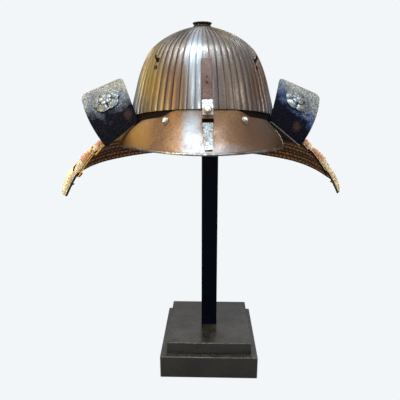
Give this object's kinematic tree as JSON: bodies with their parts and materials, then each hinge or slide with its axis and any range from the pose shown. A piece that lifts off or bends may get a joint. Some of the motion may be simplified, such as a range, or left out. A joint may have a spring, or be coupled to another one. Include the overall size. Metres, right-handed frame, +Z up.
{
  "type": "samurai helmet with plain display stand",
  "caption": "Kabuto helmet with ribbed iron bowl, peak, flared laced neck guard and turned-back plates with flower bosses, on a square post stand.",
  "frame": {"origin": "middle of the stand's underside", "axes": "+Z up, -Y the way the helmet faces, +X its wearer's left"},
  "size_m": [0.4468, 0.4209, 0.5485],
  "materials": {
    "russet_iron": "russet patina, satin",
    "black_iron": "black patina, satin",
    "brown_iron": "golden brown patina, satin",
    "bright_iron": "worn bright",
    "black_lacquer": "lacquered rawhide, gloss",
    "dark_leather": "worn grained leather on a stiff plate",
    "gold_silk": "braided silk lacing",
    "stand_paint": "black paint, satin"
  },
  "bodies": {
    "root": {"ribbed_bowl": "russet_iron", "crown_ring": "black_iron", "waist_band": "black_iron", "peak": "brown_iron", "front_strap": "brown_iron", "crest_socket": "bright_iron", "rivet_middle": "bright_iron", "rivet_right": "bright_iron", "rivet_left": "bright_iron", "bowl_stud_1": "black_iron", "bowl_stud_2": "black_iron", "bowl_stud_3": "black_iron", "bowl_stud_4": "black_iron", "neck_lame_1": "black_lacquer", "neck_lame_2": "black_lacquer", "neck_lame_3": "black_lacquer", "neck_lame_4": "black_lacquer", "lacing_1": "gold_silk", "lacing_2": "gold_silk", "lacing_3": "gold_silk", "lacing_4": "gold_silk", "turnback_left": "dark_leather", "turnback_right": "dark_leather", "flower_crest_left": "bright_iron", "flower_crest_right": "bright_iron", "plinth_lower": "stand_paint", "plinth_upper": "stand_paint", "stand_post": "stand_paint", "helmet_rest": "stand_paint"}
  },
  "joints": []
}
